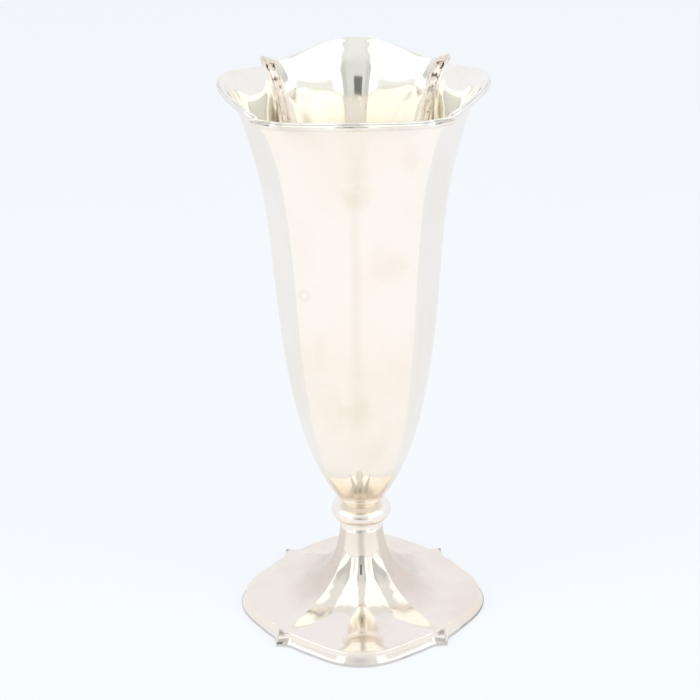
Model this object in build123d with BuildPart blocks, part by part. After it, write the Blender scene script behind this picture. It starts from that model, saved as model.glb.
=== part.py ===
# Four-lobed trumpet vase in sheet silver: a panelled body on a turned knop and a spreading foot.
# Millimetres, +Z up, origin at the middle of the foot's underside. The front panel faces -Y.
from build123d import *
from math import cos, pi, radians, sin
import os

# Sheet and joints
sheet = 0.8
solder_gap = 0.06

# Plan of the body and foot: four sides, each bowed in the middle and drawn in on its flanks, from where
# it runs out again to a corner. The corners are wide arrises that narrow to points at the two edges.
corner_angle = 45.0
edge_bow_share = 0.76
edge_flank_share = 0.88
pinch_power = 1.4
half_shares = (0.15, 0.3, 0.45, 0.6, 0.76, 0.88, 0.95, 1)

# Body: overall sizes
vase_height = 180.0
neck_height = 38.0
neck_radius = 6.0
rim_radius = 40.0
rim_droop = 3.6
rim_point_lift = 1.3
lip_rise = 0.6
lip_bulge_share = 0.35

# Body outline from neck to lip: height, radius at the middle of a side, corner radius to that radius,
# how far the flanks are drawn in, where the bow ends and the corner begins, and how far the flanks hang
body_height_shares = (0, 0.085, 0.262, 0.545, 0.764, 0.898, 0.955, 1)
body_radius_shares = (0, 0.209, 0.429, 0.568, 0.659, 0.788, 0.874, 1)
body_tip_shares = (1, 1.01, 1, 1, 1, 1, 1.01, 1.025)
body_dip_shares = (0, 0.03, 0.045, 0.048, 0.05, 0.058, 0.072, 0.086)
body_bow_shares = (0.5, 0.5, 0.5, 0.5, 0.52, 0.6, 0.7, 0.76)
body_flank_shares = (0.5, 0.5, 0.5, 0.5, 0.54, 0.66, 0.8, 0.88)
body_droop_shares = (0, 0, 0, 0, 0, 0.12, 0.42, 1)
body_wall_shares = (0.06, 0.13, 0.22, 0.35, 0.5, 0.65, 0.78, 0.87, 0.92, 0.96, 1)

# Half-round wire under the lip
rim_wire_width = 2.4
rim_wire_bulge = 1.15

# Solder run inside each corner
seam_width = 2.2
seam_depth = 0.8
seam_near_share = 0.02
seam_shares = (0.05, 0.1, 0.16, 0.24, 0.35, 0.45, 0.55, 0.65, 0.73, 0.8, 0.86, 0.91, 0.95, 0.985)

# Plug in the bottom of the body, and its spigot
plug_edge = 2.0
spigot_radius = 2.5
spigot_clearance = 0.1
spigot_tail = 1.5

# Knop: bead and collar
bead_radius = 9.5
bead_tube_radius = 2.6
bead_shoulder = 0.35
bead_ledge = 0.2
collar_height = 3.1
collar_top_radius = 6.6
collar_hollow = 0.4

# Foot: overall sizes
foot_radius = 39.7
foot_tip_share = 0.97
foot_dip_share = 0.088
stem_radius = 6.9
stem_plate_inset = 0.3
border_height = 4.3
border_inset = 2.0
border_round = 0.5
border_turn = 60.0
border_hollow = 0.2
tip_lift = 0.4
ridge_lift = 1.0

# Foot outline from stem to border: height, radius at the middle of a side, ridge radius to that radius,
# how far the flanks are drawn in, where the bow ends and the ridge begins, and how far the ridge stands up
foot_height_shares = (1, 0.687, 0.347, 0.092, 0)
foot_radius_shares = (0, 0.039, 0.185, 0.51, 0.864)
foot_tip_shares = (1.02, 1.05, 1.09, 1.03, 0.99)
foot_dip_shares = (0.03, 0.04, 0.045, 0.06, 0.08)
foot_bow_shares = (0.45, 0.45, 0.5, 0.55, 0.7)
foot_flank_shares = (0.45, 0.45, 0.5, 0.58, 0.78)
foot_lift_shares = (0, 0.2, 0.6, 1, 0.8)
foot_wall_shares = (0.15, 0.3, 0.42, 0.54, 0.68, 0.84, 1)

# Flat wire under the foot's border
foot_wire_height = 0.9
foot_wire_width = 2.2
foot_wire_proud = 0.25

# Sizes that follow from those above
section_shares = [-share for share in reversed(half_shares)] + [0] + list(half_shares)
section_angles = [share * corner_angle for share in section_shares]
sides = {"right": 0, "back": 90, "left": 180, "front": 270}
corners = {"back_right": 45, "back_left": 135, "front_left": 225, "front_right": 315}
lip_height = vase_height - lip_rise
bead_height = neck_height - bead_shoulder - bead_tube_radius
bead_foot_height = bead_height - bead_tube_radius
bead_core_radius = bead_radius - bead_tube_radius
foot_height = bead_foot_height - collar_height
stem_plate_height = foot_height - stem_plate_inset
bore_radius = spigot_radius + spigot_clearance
seam_half = seam_width / 2


def climb_share(angle, flank_share):
    """How far the plan has risen from the drawn-in flank, 0, to the corner, 1."""
    past_share = max(abs(angle) / corner_angle - flank_share, 0) / (1 - flank_share)
    return past_share ** pinch_power


def plan_radius(angle, radius, tip_share, dip_share, bow_share, flank_share):
    """Radius at an angle from the middle of a side: bowed there, drawn in, then out to the corner."""
    swell_share = cos(pi / 2 * min(abs(angle) / corner_angle / bow_share, 1)) ** 2
    tip_rise_share = (tip_share - 1 + dip_share) * climb_share(angle, flank_share)
    return radius * (1 - dip_share + dip_share * swell_share + tip_rise_share)


def outwards(azimuth):
    """Level direction away from the axis."""
    return Vector(cos(radians(azimuth)), sin(radians(azimuth)))


def upright(azimuth):
    """Plane through the axis, with x outwards and y up."""
    out = outwards(azimuth)
    return Plane((0, 0, 0), x_dir=out, z_dir=(out.Y, -out.X, 0))


def left_of(direction):
    """Square to a direction, on its left."""
    return Vector(-direction.Y, direction.X)


def body_curve(angle):
    """Outer face of a body panel from neck to lip, in the upright plane at an angle."""
    droop = rim_droop * sin(pi / 2 * angle / corner_angle) ** 2
    droop -= rim_point_lift * climb_share(angle, edge_flank_share)
    plans = zip(body_tip_shares, body_dip_shares, body_bow_shares, body_flank_shares)
    points = []
    for height_share, radius_share, droop_share, plan in zip(
        body_height_shares, body_radius_shares, body_droop_shares, plans
    ):
        radius = neck_radius + radius_share * (rim_radius - neck_radius)
        height = neck_height + height_share * (lip_height - neck_height) - droop_share * droop
        points.append((plan_radius(angle, radius, *plan), height))
    return Spline(*points, mode=Mode.PRIVATE)


def foot_edge(angle, inset):
    """Radius of the foot's edge, or of a line that runs inside it."""
    plan = (foot_tip_share, foot_dip_share, edge_bow_share, edge_flank_share)
    return plan_radius(angle, foot_radius, *plan) - inset


def foot_curve(angle):
    """Upper face of the foot from stem to border, in the upright plane at an angle."""
    plans = zip(foot_tip_shares, foot_dip_shares, foot_bow_shares, foot_flank_shares)
    points = []
    for height_share, radius_share, lift_share, plan in zip(
        foot_height_shares, foot_radius_shares, foot_lift_shares, plans
    ):
        radius = stem_radius + radius_share * (foot_radius - border_inset - stem_radius)
        height = border_height + height_share * (foot_height - border_height)
        height += ridge_lift * lift_share * climb_share(angle, plan[-1])
        points.append((plan_radius(angle, radius, *plan), height))
    edge_height = border_height + tip_lift * climb_share(angle, edge_flank_share)
    points.append((foot_edge(angle, border_inset), edge_height))
    return Spline(*points, mode=Mode.PRIVATE)


def body_wall(outer):
    """Inner face of a body panel, one sheet inside its outer curve and cut level at the neck."""
    points = [(outer @ share) + left_of(outer % share) * sheet for share in body_wall_shares]
    neck_point = (outer @ 0) - Vector(sheet / (outer % 0).Y, 0)
    return Spline(neck_point, *points, mode=Mode.PRIVATE)


os.makedirs("parts", exist_ok=True)

# Body panels
for side, azimuth in sides.items():
    with BuildPart() as body_panel:
        for angle in section_angles:
            outer = body_curve(angle)
            inner = body_wall(outer)
            lip_crest = (outer @ 1 + inner @ 1) / 2 + (outer % 1) * sheet * lip_bulge_share
            with BuildSketch(upright(azimuth + angle)):
                with BuildLine():
                    add(outer)
                    ThreePointArc(outer @ 1, lip_crest, inner @ 1)
                    add(inner)
                    Line(inner @ 0, outer @ 0)
                make_face()
        loft()
    body_panel.part.label = f"body_panel_{side}"
    export_step(body_panel.part, f"parts/body_panel_{side}.step")

# Half-round wires under the lip
for side, azimuth in sides.items():
    with BuildPart() as rim_wire:
        for angle in section_angles:
            outer = body_curve(angle)
            lip = outer @ 1
            below = outer.position_at(outer.length - rim_wire_width, position_mode=PositionMode.LENGTH)
            out = left_of((below - lip).normalized())
            start = below + out * solder_gap
            end = lip + out * solder_gap
            with BuildSketch(upright(azimuth + angle)):
                with BuildLine():
                    ThreePointArc(start, (start + end) / 2 + out * rim_wire_bulge, end)
                    Line(end, start)
                make_face()
        loft()
    rim_wire.part.label = f"rim_wire_{side}"
    export_step(rim_wire.part, f"parts/rim_wire_{side}.step")

# Solder runs inside the corners, each a wedge that lies in the groove between two panels
corner_wall = body_wall(body_curve(corner_angle))
near_wall = body_wall(body_curve(corner_angle * (1 - seam_near_share)))
for corner, azimuth in corners.items():
    with BuildPart() as corner_seam:
        for share in seam_shares:
            groove = corner_wall @ share
            rise = groove.X - (near_wall @ share).X
            slope = rise / (groove.X * radians(corner_angle * seam_near_share))
            root = groove.X - solder_gap
            face = root - max(seam_depth, seam_half * slope)
            with BuildSketch(Plane((0, 0, groove.Y), x_dir=outwards(azimuth), z_dir=(0, 0, 1))):
                with BuildLine():
                    Polyline((face, -seam_half), (root, 0), (face, seam_half), close=True)
                make_face()
        loft()
    corner_seam.part.label = f"corner_seam_{corner}"
    export_step(corner_seam.part, f"parts/corner_seam_{corner}.step")

# Plug that closes the bottom of the body, with its spigot
neck_wall = body_wall(body_curve(0))
plug_foot = neck_wall @ 0 - Vector(solder_gap, 0)
plug_top = neck_wall.position_at(plug_edge, position_mode=PositionMode.LENGTH) - Vector(solder_gap, 0)
spigot_end = stem_plate_height - sheet - spigot_tail
with BuildPart() as body_base:
    with BuildSketch(Plane.XZ):
        with BuildLine():
            Polyline(
                (0, plug_top.Y),
                plug_top,
                plug_foot,
                (spigot_radius, neck_height),
                (spigot_radius, spigot_end),
                (0, spigot_end),
                close=True,
            )
        make_face()
    revolve(axis=Axis.Z)
body_base.part.label = "body_base"
export_step(body_base.part, "parts/body_base.step")

# Turned bead under the body
with BuildPart() as knop_bead:
    with BuildSketch(Plane.XZ):
        with BuildLine():
            Polyline(
                (bead_core_radius, bead_foot_height),
                (bore_radius, bead_foot_height),
                (bore_radius, neck_height),
                (neck_radius + bead_ledge, neck_height),
                (bead_core_radius, neck_height - bead_shoulder),
            )
            ThreePointArc(
                (bead_core_radius, neck_height - bead_shoulder),
                (bead_radius, bead_height),
                (bead_core_radius, bead_foot_height),
            )
        make_face()
    revolve(axis=Axis.Z)
knop_bead.part.label = "knop_bead"
export_step(knop_bead.part, "parts/knop_bead.step")

# Collar between the bead and the foot's stem
with BuildPart() as knop_collar:
    with BuildSketch(Plane.XZ):
        with BuildLine():
            Polyline(
                (collar_top_radius, bead_foot_height),
                (bore_radius, bead_foot_height),
                (bore_radius, foot_height),
                (stem_radius, foot_height),
            )
            ThreePointArc(
                (stem_radius, foot_height),
                ((stem_radius + collar_top_radius) / 2 - collar_hollow, foot_height + collar_height / 2),
                (collar_top_radius, bead_foot_height),
            )
        make_face()
    revolve(axis=Axis.Z)
knop_collar.part.label = "knop_collar"
export_step(knop_collar.part, "parts/knop_collar.step")

# Stamped foot: four ridged quarters in one shell, with the plate that takes the spigot
with BuildPart() as foot_shell:
    for azimuth in sides.values():
        for angle in section_angles:
            outer = foot_curve(angle)
            wall_top = (outer @ 0) + Vector(sheet / (outer % 0).Y, 0)
            wall_points = [wall_top]
            for share in foot_wall_shares:
                wall_points.append((outer @ share) - left_of(outer % share) * sheet)
            border_foot = Vector(foot_edge(angle, foot_wire_proud), foot_wire_height)
            with BuildSketch(upright(azimuth + angle)):
                with BuildLine():
                    add(outer)
                    bend = JernArc(outer @ 1, outer % 1, border_round, -border_turn)
                    hollow = left_of((border_foot - bend @ 1).normalized()) * -border_hollow
                    ThreePointArc(bend @ 1, (bend @ 1 + border_foot) / 2 + hollow, border_foot)
                    Polyline(border_foot, border_foot - Vector(sheet, 0), wall_points[-1])
                    Spline(*reversed(wall_points))
                    Line(wall_top, outer @ 0)
                make_face()
        loft()
    with BuildSketch(Plane.XY.offset(stem_plate_height - sheet)):
        Circle(stem_radius - sheet / 2)
        Circle(bore_radius, mode=Mode.SUBTRACT)
    extrude(amount=sheet)
foot_shell.part.label = "foot_shell"
export_step(foot_shell.part, "parts/foot_shell.step")

# Flat wires that the foot stands on
for side, azimuth in sides.items():
    edge_points = []
    inner_points = []
    for angle in section_angles:
        out = outwards(azimuth + angle)
        edge_points.append(out * foot_edge(angle, 0))
        inner_points.append(out * foot_edge(angle, foot_wire_width))
    with BuildPart() as foot_wire:
        with BuildSketch():
            with BuildLine():
                Spline(*edge_points)
                Line(edge_points[-1], inner_points[-1])
                Spline(*reversed(inner_points))
                Line(inner_points[0], edge_points[0])
            make_face()
        extrude(amount=foot_wire_height)
    foot_wire.part.label = f"foot_wire_{side}"
    export_step(foot_wire.part, f"parts/foot_wire_{side}.step")
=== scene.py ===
# Silver trumpet vase in a white studio: smooth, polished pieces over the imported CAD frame.
from math import atan2, cos, pi, radians, sin

import bmesh
import bpy
import numpy as np
from mathutils import Matrix, Vector, noise


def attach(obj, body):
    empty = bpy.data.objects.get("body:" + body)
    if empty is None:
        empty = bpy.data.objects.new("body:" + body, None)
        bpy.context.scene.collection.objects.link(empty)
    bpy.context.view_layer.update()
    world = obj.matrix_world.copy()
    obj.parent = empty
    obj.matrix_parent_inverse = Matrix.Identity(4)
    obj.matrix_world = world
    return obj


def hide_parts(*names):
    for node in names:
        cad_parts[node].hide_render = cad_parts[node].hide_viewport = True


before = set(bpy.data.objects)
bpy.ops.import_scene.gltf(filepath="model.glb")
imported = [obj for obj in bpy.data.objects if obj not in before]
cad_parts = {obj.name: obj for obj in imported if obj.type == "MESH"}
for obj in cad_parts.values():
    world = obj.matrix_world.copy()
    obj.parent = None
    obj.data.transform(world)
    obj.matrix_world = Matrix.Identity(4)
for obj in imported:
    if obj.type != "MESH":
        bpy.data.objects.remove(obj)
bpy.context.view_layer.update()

MM = 0.001
SIDES = {"right": 0, "back": 90, "left": 180, "front": 270}
CORNERS = {"back_right": 45, "back_left": 135, "front_left": 225, "front_right": 315}

# Sizes of the solids, in millimetres
SHEET, GAP = 0.8, 0.06
CORNER, EDGE_BOW, EDGE_FLANK, PINCH = 45.0, 0.76, 0.88, 1.4
HALF = np.array([0.15, 0.3, 0.45, 0.6, 0.76, 0.88, 0.95, 1])
SECTIONS = CORNER * np.r_[-HALF[::-1], 0, HALF]
LIP, NECK, NECK_R, RIM_R, DROOP, POINT_LIFT = 179.4, 38.0, 6.0, 40.0, 3.6, 1.3
BODY = {
    "height": (0, 0.085, 0.262, 0.545, 0.764, 0.898, 0.955, 1),
    "radius": (0, 0.209, 0.429, 0.568, 0.659, 0.788, 0.874, 1),
    "droop": (0, 0, 0, 0, 0, 0.12, 0.42, 1),
    "tip": (1, 1.01, 1, 1, 1, 1, 1.01, 1.025),
    "dip": (0, 0.03, 0.045, 0.048, 0.05, 0.058, 0.072, 0.086),
    "bow": (0.5, 0.5, 0.5, 0.5, 0.52, 0.6, 0.7, 0.76),
    "flank": (0.5, 0.5, 0.5, 0.5, 0.54, 0.66, 0.8, 0.88),
}
LIP_BULGE = 0.31 * SHEET
WIRE_WIDTH, WIRE_BULGE = 2.4, 1.13
SEAM_HALF, SEAM_LEAST, SEAM_LUMP = 1.3, 0.3, 0.25
BEAD_R, TUBE_R, BEAD_Z, BEAD_LEDGE = 9.5, 2.6, 35.05, 0.2
STEM_R, STEM_TOP, COLLAR_TOP_R, COLLAR_HOLLOW = 6.9, 29.35, 6.6, 0.4
BORE_R, PLATE_INSET, PLATE_EASE = 2.6, 0.3, 0.5
FOOT_R, FOOT_TIP, FOOT_DIP = 39.7, 0.97, 0.088
BORDER, BORDER_INSET, BORDER_ROUND, BORDER_TURN, BORDER_HOLLOW = 4.3, 2.0, 0.5, 60, 0.2
TIP_LIFT, RIDGE_LIFT = 0.4, 1.0
FOOT = {
    "height": (1, 0.687, 0.347, 0.092, 0),
    "radius": (0, 0.039, 0.185, 0.51, 0.864),
    "lift": (0, 0.2, 0.6, 1, 0.8),
    "tip": (1.02, 1.05, 1.09, 1.03, 0.99),
    "dip": (0.03, 0.04, 0.045, 0.06, 0.08),
    "bow": (0.45, 0.45, 0.5, 0.55, 0.7),
    "flank": (0.45, 0.45, 0.5, 0.58, 0.78),
}
FOOT_WIRE_H, FOOT_WIRE_W, FOOT_WIRE_PROUD, FOOT_WIRE_EASE = 0.9, 2.2, 0.25, 0.18

# How dense the meshes are: points along a face and round its edges, columns across a side, steps round the axis
FACE_POINTS, LIP_POINTS, BEND_POINTS, BORDER_POINTS = 110, 7, 6, 10
WIRE_POINTS, SEAM_POINTS, SEAM_ACROSS = 16, 160, 13
PANEL_COLUMNS, WIRE_COLUMNS, ROUND_STEPS, PLATE_STEPS = 61, 49, 128, 64


# Curves

def spline(knots, values, at):
    """Smooth cubic curve through values at the knots, with end slopes from the nearest four points."""
    knots, values, at = np.asarray(knots, float), np.asarray(values, float), np.asarray(at, float)
    flat = values.reshape(len(knots), -1)
    n, h = len(knots), np.diff(knots)
    slope = np.diff(flat, axis=0) / h[:, None]
    system, right = np.zeros((n, n)), np.zeros(flat.shape)
    for i in range(1, n - 1):
        system[i, i - 1:i + 2] = h[i - 1], 2 * (h[i - 1] + h[i]), h[i]
        right[i] = 6 * (slope[i] - slope[i - 1])
    system[0, :2], system[-1, -2:] = (2 * h[0], h[0]), (h[-1], 2 * h[-1])
    for k in range(flat.shape[1]):
        first = np.polyfit(knots[:4] - knots[0], flat[:4, k], 3)[2]
        last = np.polyfit(knots[-4:] - knots[-1], flat[-4:, k], 3)[2]
        right[0, k], right[-1, k] = 6 * (slope[0, k] - first), 6 * (last - slope[-1, k])
    bend = np.linalg.solve(system, right)
    i = np.clip(np.searchsorted(knots, at, side="right") - 1, 0, n - 2)
    a = ((knots[i + 1] - at) / h[i])[:, None]
    b = 1 - a
    curve = a * flat[i] + b * flat[i + 1]
    curve += ((a ** 3 - a) * bend[i] + (b ** 3 - b) * bend[i + 1]) * (h[i] ** 2)[:, None] / 6
    return curve.reshape((len(at),) + values.shape[1:])


def through(points, count):
    """Points along a smooth curve through the given points."""
    points = np.asarray(points, float)
    chords = np.r_[0, np.cumsum(np.hypot(*np.diff(points, axis=0).T))]
    return spline(chords, points, np.linspace(0, chords[-1], count))


def left_normals(curve):
    """Unit normals on the left of a plane curve."""
    step = np.gradient(curve, axis=0)
    step /= np.linalg.norm(step, axis=1)[:, None]
    return np.c_[-step[:, 1], step[:, 0]]


def half_round(start, end, out, count):
    """Half-round from start to end, standing out by the vector out."""
    turn = np.linspace(0, pi, count)[:, None]
    middle = (start + end) / 2
    return middle + (start - middle) * np.cos(turn) + out * np.sin(turn)


def climb(angle, flank):
    """How far the plan has risen from the drawn-in flank, 0, to the corner, 1."""
    return (max(abs(angle) / CORNER - flank, 0) / (1 - flank)) ** PINCH


def plan(angle, radius, tip, dip, bow, flank):
    """Radius at an angle from the middle of a side."""
    swell = cos(pi / 2 * min(abs(angle) / CORNER / bow, 1)) ** 2
    return radius * (1 - dip + dip * swell + (tip - 1 + dip) * climb(angle, flank))


def body_points(angle):
    """Radius and height of the body's outer face, from neck to lip."""
    points = []
    fall = DROOP * sin(pi / 2 * angle / CORNER) ** 2 - POINT_LIFT * climb(angle, EDGE_FLANK)
    for height, radius, droop, *shape in zip(*BODY.values()):
        level = NECK + height * (LIP - NECK) - droop * fall
        points.append([plan(angle, NECK_R + radius * (RIM_R - NECK_R), *shape), level])
    return points


def foot_edge(angle, inset):
    """Radius of the foot's outer edge, less an inset."""
    return plan(angle, FOOT_R, FOOT_TIP, FOOT_DIP, EDGE_BOW, EDGE_FLANK) - inset


def foot_points(angle):
    """Radius and height of the foot's upper face, from stem to border."""
    points = []
    for height, radius, lift, *shape in zip(*FOOT.values()):
        level = BORDER + height * (STEM_TOP - BORDER) + RIDGE_LIFT * lift * climb(angle, shape[-1])
        points.append([plan(angle, STEM_R + radius * (FOOT_R - BORDER_INSET - STEM_R), *shape), level])
    points.append([foot_edge(angle, BORDER_INSET), BORDER + TIP_LIFT * climb(angle, EDGE_FLANK)])
    return points


def crowded(count):
    """Angles across one side, closer together near its corners."""
    t = np.linspace(-1, 1, count)
    return CORNER * (1.35 * t - 0.35 * t ** 3)


def across(profiles, angles):
    """Profiles at the section angles, made dense across one side."""
    return spline(SECTIONS, np.array(profiles), angles)


def round_axis(profile, azimuth):
    """Radius and height pairs as points in space, in metres."""
    a = radians(azimuth)
    return [Vector((r * cos(a), r * sin(a), z)) * MM for r, z in profile]


# Meshes

def finish_mesh(name, bm, nodes, materials, crease):
    """Makes a piece of the mesh, with crisp edges above the crease angle, puts it under the root body and hides the
    CAD nodes it replaces.
    """
    bmesh.ops.recalc_face_normals(bm, faces=bm.faces)
    for face in bm.faces:
        face.smooth = True
    for edge in bm.edges:
        if len(edge.link_faces) == 2 and edge.calc_face_angle(0) > radians(crease):
            edge.smooth = False
    mesh = bpy.data.meshes.new(name)
    bm.to_mesh(mesh)
    bm.free()
    piece = bpy.data.objects.new(name, mesh)
    bpy.context.collection.objects.link(piece)
    for material in materials:
        mesh.materials.append(material)
    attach(piece, "root")
    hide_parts(*nodes)
    return piece


def skin(bm, rings, closed, material_of=None):
    """Quads between neighbouring rings of vertices. Each ring is a closed loop."""
    count = len(rings[0])
    pairs = list(zip(rings, rings[1:])) + ([(rings[-1], rings[0])] if closed else [])
    for one, two in pairs:
        for i in range(count):
            j = (i + 1) % count
            corners = list(dict.fromkeys((one[i], one[j], two[j], two[i])))
            if len(corners) > 2:
                face = bm.faces.new(corners)
                face.material_index = material_of(i) if material_of else 0


def cap(bm, ring, material_index=0):
    """Closes the end of a strip whose ring runs up one face and back down the other."""
    low, high = 0, len(ring) - 1
    while high - low > 2:
        face = bm.faces.new((ring[low], ring[low + 1], ring[high - 1], ring[high]))
        face.material_index = material_index
        low, high = low + 1, high - 1
    if high - low == 2:
        bm.faces.new((ring[low], ring[low + 1], ring[high])).material_index = material_index


def rings_of(bm, profiles, angles, azimuth):
    """One ring of vertices for each profile, side by side round the axis."""
    rings = []
    for profile, angle in zip(profiles, angles):
        rings.append([bm.verts.new(p) for p in round_axis(profile, azimuth + angle)])
    return rings


def lathe(bm, profile, count):
    """A closed profile turned about the axis."""
    rings = [[bm.verts.new(p) for p in round_axis(profile, 360 * k / count)] for k in range(count)]
    skin(bm, rings, True)


def panel_profile(angle):
    """Closed section of a body panel: outer face up, round the lip, inner face down."""
    outer = through(body_points(angle), FACE_POINTS)
    normals = left_normals(outer)
    inner = outer + normals * SHEET
    inner[0] = outer[0] + np.array((SHEET / normals[0, 0], 0))
    tangent = np.array((normals[-1, 1], -normals[-1, 0]))
    lip = half_round(outer[-1], inner[-1], tangent * LIP_BULGE, LIP_POINTS + 2)[1:-1]
    return np.vstack((outer, lip, inner[::-1]))


def wire_profile(angle):
    """Closed section of the half-round wire under the lip."""
    outer = through(body_points(angle), 1200)
    run = np.r_[0, np.cumsum(np.hypot(*np.diff(outer, axis=0).T))]
    below = np.array([np.interp(run[-1] - WIRE_WIDTH, run, outer[:, k]) for k in (0, 1)])
    lip = outer[-1]
    along = (below - lip) / np.linalg.norm(below - lip)
    out = np.array((-along[1], along[0]))
    arc = half_round(below + out * GAP, lip + out * GAP, out * WIRE_BULGE, WIRE_POINTS + 1)
    back = [arc[-1] + (arc[0] - arc[-1]) * k / WIRE_POINTS for k in range(1, WIRE_POINTS)]
    return np.vstack((arc, back))


def foot_profile(angle):
    """Closed section of the foot: upper face out, round the border and down it, then back up underneath."""
    outer = through(foot_points(angle), FACE_POINTS)
    normals = left_normals(outer)
    heading = atan2(-normals[-1, 0], normals[-1, 1])
    centre = outer[-1] - normals[-1] * BORDER_ROUND
    turns = heading + pi / 2 - np.radians(np.linspace(0, BORDER_TURN, BEND_POINTS + 1))[1:]
    bend = centre + BORDER_ROUND * np.c_[np.cos(turns), np.sin(turns)]
    foot = np.array((foot_edge(angle, FOOT_WIRE_PROUD), FOOT_WIRE_H))
    fall = (foot - bend[-1]) / np.linalg.norm(foot - bend[-1])
    share = np.linspace(0, 1, BORDER_POINTS + 1)[1:, None]
    hollow = np.array((fall[1], -fall[0])) * BORDER_HOLLOW * 4 * share * (1 - share)
    border = bend[-1] + (foot - bend[-1]) * share + hollow
    inner = outer - normals * SHEET
    inner[0] = outer[0] - np.array((SHEET / normals[0, 0], 0))
    return np.vstack((outer, bend, border, foot - np.array((SHEET, 0)), inner[::-1]))


def foot_wire_profile(angle):
    """Closed section of the flat wire under the foot, with its outer edges eased."""
    out, back, e = foot_edge(angle, 0), foot_edge(angle, FOOT_WIRE_W), FOOT_WIRE_EASE
    corners = [(back, 0), (out - e, 0), (out - e * 0.3, e * 0.3), (out, e), (out, FOOT_WIRE_H - e),
               (out - e * 0.3, FOOT_WIRE_H - e * 0.3), (out - e, FOOT_WIRE_H), (back, FOOT_WIRE_H)]
    return np.array(corners)


# Materials

class Nodes:
    """Short hand for a material's node tree."""

    def __init__(self, name):
        self.material = bpy.data.materials.new(name)
        self.material.use_nodes = True
        self.tree = self.material.node_tree
        self.shader = self.tree.nodes["Principled BSDF"]
        self.place = self.add("ShaderNodeTexCoord").outputs["Object"]

    def add(self, kind, **settings):
        node = self.tree.nodes.new(kind)
        for key, value in settings.items():
            setattr(node, key, value)
        return node

    def put(self, socket, value):
        if isinstance(value, bpy.types.NodeSocket):
            self.tree.links.new(value, socket)
        else:
            socket.default_value = value

    def math(self, operation, a, b=0.0, clamp=False):
        node = self.add("ShaderNodeMath", operation=operation, use_clamp=clamp)
        self.put(node.inputs[0], a)
        self.put(node.inputs[1], b)
        return node.outputs[0]

    def ramp(self, value, low, high, out_low=0.0, out_high=1.0):
        node = self.add("ShaderNodeMapRange", interpolation_type="SMOOTHSTEP")
        for socket, v in zip(node.inputs, (value, low, high, out_low, out_high)):
            self.put(socket, v)
        return node.outputs[0]

    def mix(self, share, a, b):
        node = self.add("ShaderNodeMix", data_type="RGBA")
        self.put(node.inputs[0], share)
        self.put(node.inputs[6], a)
        self.put(node.inputs[7], b)
        return node.outputs[2]

    def stretched(self, x, y, z):
        node = self.add("ShaderNodeMapping")
        self.put(node.inputs["Vector"], self.place)
        node.inputs["Scale"].default_value = (x, y, z)
        return node.outputs[0]

    def noise(self, scale, detail=3.0, rough=0.5, vector=None):
        node = self.add("ShaderNodeTexNoise")
        self.put(node.inputs["Vector"], vector or self.place)
        node.inputs["Scale"].default_value = scale
        node.inputs["Detail"].default_value = detail
        node.inputs["Roughness"].default_value = rough
        return node.outputs["Fac"]

    def cells(self, scale):
        node = self.add("ShaderNodeTexVoronoi")
        self.put(node.inputs["Vector"], self.place)
        node.inputs["Scale"].default_value = scale
        return node.outputs["Distance"]

    def xyz(self):
        node = self.add("ShaderNodeSeparateXYZ")
        self.put(node.inputs[0], self.place)
        return node.outputs

    def mark(self, across, up, wide, tall):
        """Distance from a place on the front panel, as a share of the mark's half width and half height."""
        x, y, z = self.xyz()
        dx = self.math("DIVIDE", self.math("SUBTRACT", x, across), wide)
        dz = self.math("DIVIDE", self.math("SUBTRACT", z, up), tall)
        far = self.math("SQRT", self.math("ADD", self.math("MULTIPLY", dx, dx), self.math("MULTIPLY", dz, dz)))
        return self.math("ADD", far, self.ramp(y, -0.016, -0.010, 0, 9))

    def bump(self, height, strength, distance, before=None):
        node = self.add("ShaderNodeBump")
        node.inputs["Strength"].default_value = strength
        node.inputs["Distance"].default_value = distance
        self.put(node.inputs["Height"], height)
        if before:
            self.put(node.inputs["Normal"], before)
        return node.outputs[0]


def rgb(r, g, b):
    return (r, g, b, 1.0)


# Old stains on the front panel, with a thin streak down its middle that is a painted reflection of the tripod, and
# the painted shade ring of a dent: across, up, half width, half height, and for the stains and streak their depth
DENT_SHADE_RING = (-0.0154, 0.1185, 0.0015, 0.0017)
FRONT_STAINS_AND_TRIPOD_STREAK = [
    (0.0005, 0.1530, 0.0065, 0.0060, 0.30),
    (0.0020, 0.1640, 0.0035, 0.0110, 0.16),
    # painted reflection: a thin dark streak down the middle of the front panel, for the tripod
    (0.0000, 0.1200, 0.0026, 0.0420, 0.10),
    (0.0000, 0.0790, 0.0075, 0.0075, 0.26),
    (-0.0080, 0.0800, 0.0060, 0.0120, 0.14),
    (0.0110, 0.1290, 0.0060, 0.0070, 0.12),
    (0.0060, 0.0640, 0.0070, 0.0100, 0.16),
    (0.0000, 0.0440, 0.0200, 0.0110, 0.40),
    (0.0165, 0.1640, 0.0040, 0.0080, 0.16),
    (-0.0110, 0.1000, 0.0030, 0.0100, 0.10),
]


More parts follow.
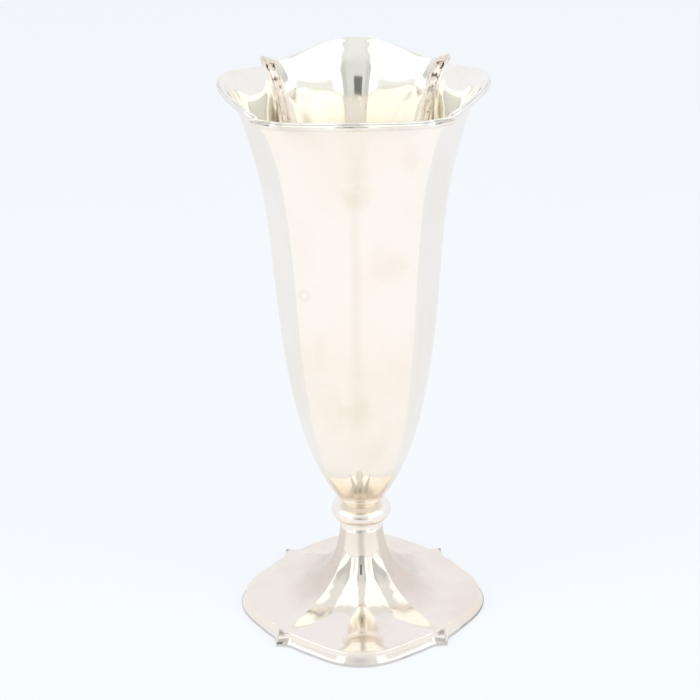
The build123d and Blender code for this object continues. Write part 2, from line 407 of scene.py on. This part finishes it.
def silver(name, clean, tarnish, amount, rough, corner_dirt, dark_points=0.0, marks=False, film=0.0):
    """Polished silver: warm, with cloudy tarnish, hairline polish marks, a few pits, and dirt in the corners.

    dark_points is for the foot: tarnish up the stem, the tips of its points darkened towards black, and a rubbed
    place on the front border.
    marks is for the outside: stains in front, a painted reflection of the tripod as a thin dark streak down the
    middle, a painted shade ring where a dent is, and a golden neck. film dulls the depth of the inside.
    """
    n = Nodes(name)
    x, y, z = n.xyz()
    clouds = n.ramp(n.noise(38, 5, 0.6), 0.46, 0.72)
    freckles = n.ramp(n.noise(420, 4, 0.65), 0.62, 0.78)
    stain_and_painted_shade = n.math("ADD", n.math("MULTIPLY", clouds, amount), n.math("MULTIPLY", freckles, amount * 0.6))
    stain_and_painted_shade = n.math("ADD", stain_and_painted_shade, n.ramp(z, 0.036, 0.075, amount * 0.55, 0), clamp=True)
    if marks:
        wander = n.math("MULTIPLY", n.math("SUBTRACT", n.noise(190, 4, 0.6), 0.5), 1.5)
        for across, up, wide, tall, depth in FRONT_STAINS_AND_TRIPOD_STREAK:
            far = n.math("ADD", n.mark(across, up, wide, tall), wander)
            stain_and_painted_shade = n.math("ADD", stain_and_painted_shade, n.ramp(far, 0.2, 1.0, depth, 0), clamp=True)
        # painted shade: a faint dark ring stands in for the shading of a dent
        off_ring = n.math("ABSOLUTE", n.math("SUBTRACT", n.mark(*DENT_SHADE_RING), 0.9))
        ring = n.math("MULTIPLY", n.ramp(off_ring, 0.1, 0.7, 1, 0), 0.20)
        stain_and_painted_shade = n.math("ADD", stain_and_painted_shade, ring, clamp=True)
    off_corner = n.math("ABSOLUTE", n.math("SUBTRACT", n.math("ABSOLUTE", x), n.math("ABSOLUTE", y)))
    ragged = n.math("ADD", off_corner, n.math("MULTIPLY", n.math("SUBTRACT", n.noise(170, 4, 0.6), 0.5), 0.004))
    if film:
        stain_and_painted_shade = n.math("ADD", stain_and_painted_shade, n.ramp(z, 0.150, 0.170, 0.40, 0), clamp=True)
    corner = n.math("MULTIPLY", n.ramp(ragged, 0.0006, 0.0052, 1, 0), corner_dirt)
    pale = tuple(1 - (1 - c) * 0.62 for c in clean[:3]) + (1.0,)
    colour = n.mix(stain_and_painted_shade, n.mix(n.ramp(n.noise(16, 2), 0.36, 0.62), clean, pale), tarnish)
    colour = n.mix(corner, colour, rgb(0.80, 0.68, 0.58))
    if marks:
        neck = n.ramp(n.math("ADD", z, n.math("MULTIPLY", n.noise(120, 3), 0.004)), 0.045, 0.060, 1, 0)
        golden = n.math("MULTIPLY", neck, n.ramp(z, 0.041, 0.048, 0.30, 0.70))
        colour = n.mix(golden, colour, rgb(0.76, 0.65, 0.48))
    if dark_points:
        stem = n.math("SQRT", n.math("ADD", n.math("MULTIPLY", x, x), n.math("MULTIPLY", y, y)))
        crease = n.math("MINIMUM", n.math("ABSOLUTE", x), n.math("ABSOLUTE", y))
        crease = n.math("ADD", crease, n.math("MULTIPLY", n.math("SUBTRACT", n.noise(260, 3), 0.5), 0.0012))
        crease = n.math("MULTIPLY", n.ramp(crease, 0.0003, 0.0018, 0.50, 0), n.ramp(stem, 0.0075, 0.0092, 1, 0))
        colour = n.mix(crease, colour, rgb(0.40, 0.36, 0.32))
        stem = n.math("ADD", stem, n.math("MULTIPLY", n.math("SUBTRACT", n.noise(90, 3), 0.5), 0.012))
        aside = n.math("SUBTRACT", n.math("ABSOLUTE", x), n.math("ABSOLUTE", y))
        stem = n.math("MULTIPLY", n.ramp(stem, 0.014, 0.028, 0.95, 0), n.ramp(aside, -0.001, 0.001, 0.15, 1))
        colour = n.mix(stem, colour, rgb(0.76, 0.67, 0.58))
        # the tips of the foot's points are darkened towards near black
        out = n.math("ADD", n.math("ABSOLUTE", x), n.math("ABSOLUTE", y))
        out = n.math("ADD", out, n.math("MULTIPLY", n.noise(300, 3), 0.003))
        point = n.math("MULTIPLY", n.ramp(out, 0.0512, 0.0526), n.ramp(z, 0.0032, 0.0038))
        colour = n.mix(n.math("MULTIPLY", point, dark_points), colour, rgb(0.16, 0.15, 0.14))
    pits = n.ramp(n.cells(330), 0.05, 0.16, 1, 0)
    pits = n.math("MULTIPLY", pits, n.ramp(n.noise(75, 2), 0.58, 0.66))
    pits = n.math("MULTIPLY", pits, n.math("ADD", n.math("MULTIPLY", corner, 0.8), 0.06), clamp=True)
    n.put(n.shader.inputs["Base Color"], n.mix(pits, colour, rgb(0.10, 0.075, 0.05)))
    n.shader.inputs["Metallic"].default_value = 1.0
    if film:
        n.put(n.shader.inputs["Metallic"], n.ramp(z, 0.095, 0.142, 1 - film, 1.0))
    hairlines = n.noise(1.0, 2, 0.5, n.stretched(2600, 2600, 240))
    smear = n.noise(24, 3, 0.5)
    polish = n.math("ADD", n.ramp(smear, 0.35, 0.75, rough, rough + 0.04), n.math("MULTIPLY", hairlines, 0.03))
    polish = n.math("ADD", polish, n.math("MULTIPLY", corner, 0.30))
    if marks:
        polish = n.math("ADD", polish, n.math("MULTIPLY", neck, 0.10))
    if dark_points:
        rubbed = n.ramp(n.math("ABSOLUTE", x), 0.0030, 0.0060, 0.30, 0)
        rubbed = n.math("MULTIPLY", rubbed, n.ramp(y, -0.0372, -0.0362, 1, 0))
        polish = n.math("ADD", polish, rubbed)
    if film:
        polish = n.math("ADD", polish, n.ramp(z, 0.095, 0.142, 0.40, 0.0))
    n.put(n.shader.inputs["Roughness"], n.math("ADD", polish, n.math("MULTIPLY", stain_and_painted_shade, 0.10), clamp=True))
    waves = n.bump(n.noise(95, 2, 0.4), 0.05, 0.0006)
    lines = n.bump(hairlines, 0.03, 0.00006, waves)
    scale = n.math("MULTIPLY", n.noise(900, 3, 0.6), corner)
    n.put(n.shader.inputs["Normal"], n.bump(scale, 0.6, 0.0004, lines))
    return n.material


def solder(name):
    """Old silver solder: dull, pinkish, grainy, with dark specks that crowd near the points of the rim."""
    n = Nodes(name)
    grain = n.noise(700, 5, 0.65)
    patches = n.ramp(n.noise(330, 5, 0.7), 0.40, 0.66)
    colour = n.mix(patches, rgb(0.98, 0.90, 0.83), rgb(0.80, 0.65, 0.55))
    high = n.ramp(n.xyz()[2], 0.163, 0.174)
    specks = n.ramp(n.cells(640), 0.12, 0.28, 1, 0)
    crowd = n.math("ADD", n.noise(150, 2), n.math("MULTIPLY", high, 0.06))
    specks = n.math("MULTIPLY", specks, n.ramp(crowd, 0.48, 0.56))
    burns = n.math("MULTIPLY", n.ramp(n.noise(420, 3, 0.55), 0.53, 0.58), high)
    colour = n.mix(n.math("MULTIPLY", specks, 0.6), colour, rgb(0.30, 0.20, 0.13))
    n.put(n.shader.inputs["Base Color"], n.mix(n.math("MULTIPLY", burns, 0.9), colour, rgb(0.05, 0.04, 0.03)))
    n.shader.inputs["Metallic"].default_value = 1.0
    n.put(n.shader.inputs["Roughness"], n.ramp(grain, 0.3, 0.7, 0.28, 0.50))
    n.put(n.shader.inputs["Normal"], n.bump(grain, 0.5, 0.0003))
    return n.material


silver_outside = silver("silver_outside", rgb(0.965, 0.908, 0.822), rgb(0.84, 0.72, 0.58), 0.16, 0.03, 0.0,
                        marks=True)
silver_inside = silver("silver_inside", rgb(0.962, 0.932, 0.855), rgb(0.80, 0.71, 0.56), 0.34, 0.04, 0.75, film=0.7)
silver_foot = silver("silver_foot", rgb(0.955, 0.888, 0.806), rgb(0.84, 0.73, 0.62), 0.40, 0.03, 0.0,
                     dark_points=0.55)
silver_turned = silver("silver_turned", rgb(0.980, 0.925, 0.860), rgb(0.82, 0.68, 0.50), 0.22, 0.22, 0.0)
silver_edge = silver("silver_edge", rgb(0.93, 0.89, 0.82), rgb(0.66, 0.58, 0.46), 0.5, 0.09, 0.25)
# Painted shade: the flat wire under the foot is made dark grey, for the shadowed floor that its lower rounding
# mirrors
silver_painted_shade = silver("silver_painted_shade", rgb(0.74, 0.72, 0.69), rgb(0.40, 0.38, 0.35), 0.6, 0.16, 0.0)
silver_hidden = silver("silver_hidden", rgb(0.86, 0.80, 0.72), rgb(0.55, 0.45, 0.35), 0.7, 0.30, 0.0, film=0.6)
old_solder = solder("old_solder")


# Body panels and the wires under their lip

def panel_material(i):
    """Outside, inside or edge, by the place round a panel's section."""
    outside = FACE_POINTS - 1
    return 0 if i < outside else (2 if i < outside + LIP_POINTS + 1 else 1)


angles = crowded(PANEL_COLUMNS)
panel_profiles = across([panel_profile(a) for a in SECTIONS], angles)
wire_angles = crowded(WIRE_COLUMNS)
wire_profiles = across([wire_profile(a) for a in SECTIONS], wire_angles)
for side, azimuth in SIDES.items():
    bm = bmesh.new()
    rings = rings_of(bm, panel_profiles, angles, azimuth)
    skin(bm, rings, False, panel_material)
    cap(bm, rings[0])
    cap(bm, rings[-1])
    faces = [silver_outside, silver_inside, silver_edge]
    finish_mesh(f"panel_{side}", bm, [f"body_panel_{side}"], faces, 35)

    bm = bmesh.new()
    rings = rings_of(bm, wire_profiles, wire_angles, azimuth)
    skin(bm, rings, False)
    cap(bm, rings[0])
    cap(bm, rings[-1])
    finish_mesh(f"lip_wire_{side}", bm, [f"rim_wire_{side}"], [silver_edge], 50)

# Solder in the corners, lumpy, from wall to wall
spread = np.linspace(0, 0.16, 9)
walls = []
for part in spread:
    outer = through(body_points(CORNER * (1 - part)), SEAM_POINTS)
    walls.append((outer + left_normals(outer) * SHEET)[8:-3])
for corner, azimuth in CORNERS.items():
    bm = bmesh.new()
    rings = []
    for groove in walls[0]:
        radii = [np.interp(groove[1], wall[:, 1], wall[:, 0]) for wall in walls]
        turned = np.radians(CORNER * spread)
        beside = np.interp(SEAM_HALF, radii * np.sin(turned), radii * np.cos(turned))
        root, edge = groove[0] - GAP, min(beside, groove[0] - SEAM_LEAST) - GAP / 2
        row = [(root, 0.0)]
        for share in np.linspace(-1, 1, SEAM_ACROSS):
            lump = noise.noise(Vector((azimuth + share * 1.5, groove[1] * 0.9, 3.1)))
            depth = SEAM_LUMP * (1 - share ** 2) * (0.6 + lump)
            row.append((edge - depth, -SEAM_HALF * share))
        a = radians(azimuth)
        row = [Vector((r * cos(a) - t * sin(a), r * sin(a) + t * cos(a), groove[1])) for r, t in row]
        rings.append([bm.verts.new(p * MM) for p in row])
    skin(bm, rings, False)
    bm.faces.new(rings[0])
    bm.faces.new(rings[-1])
    finish_mesh(f"solder_{corner}", bm, [f"corner_seam_{corner}"], [old_solder], 50)

# Bead and collar
turn = np.linspace(pi / 2, -pi / 2, 33)
bead = [(BORE_R, NECK), (NECK_R + BEAD_LEDGE, NECK)]
bead += [(BEAD_R - TUBE_R + TUBE_R * cos(t), BEAD_Z + TUBE_R * sin(t)) for t in turn]
bead += [(BORE_R, BEAD_Z - TUBE_R)]
bm = bmesh.new()
lathe(bm, bead, ROUND_STEPS)
finish_mesh("bead", bm, ["knop_bead"], [silver_turned], 30)

collar_top = BEAD_Z - TUBE_R
share = np.linspace(0, 1, 15)
collar_radii = STEM_R + (COLLAR_TOP_R - STEM_R) * share - 4 * share * (1 - share) * COLLAR_HOLLOW
collar_levels = STEM_TOP + (collar_top - STEM_TOP) * share
collar = list(zip(collar_radii, collar_levels)) + [(BORE_R, collar_top), (BORE_R, STEM_TOP)]
bm = bmesh.new()
lathe(bm, collar, ROUND_STEPS)
finish_mesh("collar", bm, ["knop_collar"], [silver_turned], 30)

# Foot
foot_angles = crowded(PANEL_COLUMNS)
foot_profiles = across([foot_profile(a) for a in SECTIONS], foot_angles)
bm = bmesh.new()
rings = []
for azimuth in SIDES.values():
    rings += rings_of(bm, foot_profiles[:-1], foot_angles[:-1], azimuth)
upper_end = FACE_POINTS + BEND_POINTS + BORDER_POINTS - 1
skin(bm, rings, True, lambda i: 0 if i < upper_end else 1)
plate_r, plate_top = STEM_R - PLATE_EASE, STEM_TOP - PLATE_INSET
plate = [(BORE_R, plate_top), (plate_r, plate_top), (plate_r, plate_top - SHEET), (BORE_R, plate_top - SHEET)]
lathe(bm, plate, PLATE_STEPS)
finish_mesh("foot", bm, ["foot_shell"], [silver_foot, silver_hidden], 14)

foot_wire_profiles = across([foot_wire_profile(a) for a in SECTIONS], foot_angles)
for side, azimuth in SIDES.items():
    bm = bmesh.new()
    rings = rings_of(bm, foot_wire_profiles, foot_angles, azimuth)
    skin(bm, rings, False)
    bm.faces.new(rings[0])
    bm.faces.new(rings[-1])
    # The strips take the dark grey of painted shade
    finish_mesh(f"foot_strip_{side}", bm, [f"foot_wire_{side}"], [silver_painted_shade], 30)

# The plug in the bottom stays as its CAD solid
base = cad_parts["body_base"]
base.data.materials.clear()
base.data.materials.append(silver_hidden)

# Camera, from the rim's and foot's points in the photograph
FOCAL, DIST, PITCH, ROLL, YAW = 2258.0, 702.6, 25.33, -1.10, -1.45
PHOTO_WIDTH, SENSOR = 700, 36.0
target = Vector((-2.60, 0, 91.26))
e, r = radians(PITCH), radians(ROLL)
forward = Vector((0, cos(e), -sin(e)))
right = Vector((1, 0, 0))
up = right.cross(forward)
right, up = right * cos(r) + up * sin(r), up * cos(r) - right * sin(r)
place = target - forward * DIST
unturn = Matrix.Rotation(radians(-YAW), 3, "Z")
axes = Matrix((unturn @ right, unturn @ up, unturn @ -forward)).transposed()
camera = bpy.data.objects.new("camera", bpy.data.cameras.new("camera"))
bpy.context.collection.objects.link(camera)
camera.matrix_world = Matrix.Translation(unturn @ place * MM) @ axes.to_4x4()
camera.data.sensor_width = SENSOR
camera.data.lens = FOCAL * SENSOR / PHOTO_WIDTH
camera.data.clip_start = 0.01
bpy.context.scene.camera = camera


# Stage: a pale floor, white surroundings and soft lamps, in metres

FLOOR_HALF, FLOOR_DROP = 4.0, 0.0002
TENT_RADIUS, TENT_HALF, TENT_LOW, TENT_HIGH, TENT_ROWS, TENT_COLUMNS = 1.2, 3.6, 2, 104, 24, 8
CLOTH, LOW_CLOTH, CAMERA_DARK = 1.28, 0.92, 0.20

def seen_directly(tree):
    """1 for rays from the camera, or that metal or glass sends on."""
    path = tree.nodes.new("ShaderNodeLightPath")
    total = path.outputs["Is Camera Ray"]
    for other in ("Is Glossy Ray", "Is Transmission Ray"):
        join = tree.nodes.new("ShaderNodeMath")
        join.operation = "MAXIMUM"
        tree.links.new(total, join.inputs[0])
        tree.links.new(path.outputs[other], join.inputs[1])
        total = join.outputs[0]
    return total


def stage_sheet(name, bm, material):
    """A sheet that belongs to the stage."""
    mesh = bpy.data.meshes.new(name)
    bm.to_mesh(mesh)
    bm.free()
    mesh.materials.append(material)
    sheet = bpy.data.objects.new(name, mesh)
    bpy.context.collection.objects.link(sheet)
    return sheet


floor_paint = Nodes("floor_paper")
floor_paint.shader.inputs["Base Color"].default_value = rgb(0.90, 0.91, 0.94)
floor_paint.shader.inputs["Roughness"].default_value = 0.9
path = floor_paint.add("ShaderNodeLightPath")
aside, away = floor_paint.xyz()[:2]
# Painted shadow: seen in the metal, the floor ahead of the vase is a little darker in a stripe down the middle, for
# the camera and tripod; behind the vase it turns cooler
ahead_with_painted_shadow = floor_paint.mix(floor_paint.ramp(floor_paint.math("ABSOLUTE", aside), 0.01, 0.09),
                        rgb(0.950, 0.940, 0.925), rgb(1.0, 0.990, 0.985))
seen_in_metal = floor_paint.mix(floor_paint.ramp(away, -0.06, 0.10), ahead_with_painted_shadow, rgb(0.885, 0.905, 0.940))
glow = floor_paint.add("ShaderNodeEmission")
shown = floor_paint.mix(path.outputs["Is Glossy Ray"], rgb(0.935, 0.960, 1.0), seen_in_metal)
floor_paint.put(glow.inputs["Color"], shown)
blend = floor_paint.add("ShaderNodeMixShader")
floor_paint.put(blend.inputs[0], floor_paint.math("MULTIPLY", seen_directly(floor_paint.tree), 0.78))
floor_paint.put(blend.inputs[1], floor_paint.shader.outputs[0])
floor_paint.put(blend.inputs[2], glow.outputs[0])
floor_paint.put(floor_paint.tree.nodes["Material Output"].inputs["Surface"], blend.outputs[0])
bm = bmesh.new()
bmesh.ops.create_grid(bm, x_segments=2, y_segments=2, size=FLOOR_HALF)
stage_sheet("floor", bm, floor_paint.material).location.z = -FLOOR_DROP

world = bpy.data.worlds.new("studio")
bpy.context.scene.world = world
world.use_nodes = True
tree = world.node_tree
soft = tree.nodes["Background"]
soft.inputs["Color"].default_value = rgb(0.97, 0.98, 1.0)
soft.inputs["Strength"].default_value = 0.62
white = tree.nodes.new("ShaderNodeBackground")
white.inputs["Color"].default_value = rgb(0.925, 0.940, 0.985)
white.inputs["Strength"].default_value = 1.0
blend = tree.nodes.new("ShaderNodeMixShader")
tree.links.new(seen_directly(tree), blend.inputs[0])
tree.links.new(soft.outputs[0], blend.inputs[1])
tree.links.new(white.outputs[0], blend.inputs[2])
tree.links.new(blend.outputs[0], tree.nodes["World Output"].inputs["Surface"])


def lamp(name, power, size, at, towards):
    """A soft square lamp that the metal doesn't mirror."""
    data = bpy.data.lights.new(name, "AREA")
    data.energy = power
    data.size = size
    thing = bpy.data.objects.new(name, data)
    bpy.context.collection.objects.link(thing)
    thing.location = at
    thing.rotation_euler = (Vector(towards) - Vector(at)).to_track_quat("-Z", "Y").to_euler()
    thing.visible_glossy = False


lamp("left_softbox", 10.5, 1.4, (-0.74, -0.86, 0.78), (0, 0, 0.1))
lamp("right_softbox", 10.5, 1.4, (0.74, -0.86, 0.78), (0, 0, 0.1))

# White tent in front, with a grey gap where the camera looks in, which only the metal sees
tent = Nodes("tent_cloth")
side, depth, height = tent.xyz()
side = tent.math("ABSOLUTE", tent.math("ADD", side, 0.03))
width = tent.ramp(depth, -0.98, -0.80, 0.64, 0.48)
width = tent.ramp(depth, -0.80, -0.60, width, 0.30)
width = tent.ramp(depth, -0.48, -0.34, width, 0.18)
width = tent.ramp(depth, -0.04, 0.06, width, 0.50)
share = tent.math("DIVIDE", side, width)
gap = tent.ramp(height, 0.30, 0.45, 0.58, 0.79)
gap = tent.ramp(height, 0.72, 0.95, gap, 0.90)
cloth = tent.ramp(share, 0.60, 0.72, gap, tent.ramp(height, 0.72, 0.95, 0.66, 0.86))
outer_cloth = tent.ramp(side, 0.95, 1.20, CLOTH, tent.ramp(height, 0.62, 0.70, LOW_CLOTH, CLOTH))
cloth = tent.ramp(share, 0.98, 1.02, cloth, outer_cloth)
camera_here = tent.math("ABSOLUTE", tent.math("ADD", tent.xyz()[0], 0.12))
camera_here = tent.math("MULTIPLY", tent.ramp(camera_here, 0.17, 0.21, 1, 0), tent.ramp(height, 0.26, 0.30))
camera_here = tent.math("MULTIPLY", camera_here, tent.ramp(height, 0.56, 0.60, 1, 0))
cloth = tent.ramp(camera_here, 0, 1, cloth, CAMERA_DARK)
light = tent.add("ShaderNodeEmission")
light.inputs["Color"].default_value = rgb(0.97, 1.0, 1.0)
tent.put(light.inputs["Strength"], cloth)
tent.put(tent.tree.nodes["Material Output"].inputs["Surface"], light.outputs[0])
bm = bmesh.new()
rows = []
for k in range(TENT_ROWS + 1):
    lift = radians(TENT_LOW + (TENT_HIGH - TENT_LOW) * k / TENT_ROWS)
    row = [(x, -TENT_RADIUS * cos(lift), TENT_RADIUS * sin(lift))
           for x in np.linspace(-TENT_HALF, TENT_HALF, TENT_COLUMNS + 1)]
    rows.append([bm.verts.new(p) for p in row])
for one, two in zip(rows, rows[1:]):
    for i in range(TENT_COLUMNS):
        bm.faces.new((one[i], one[i + 1], two[i + 1], two[i]))
tent_sheet = stage_sheet("tent", bm, tent.material)
tent_sheet.visible_camera = False
tent_sheet.visible_diffuse = False
tent_sheet.visible_shadow = False

bpy.context.scene.view_settings.view_transform = "Standard"
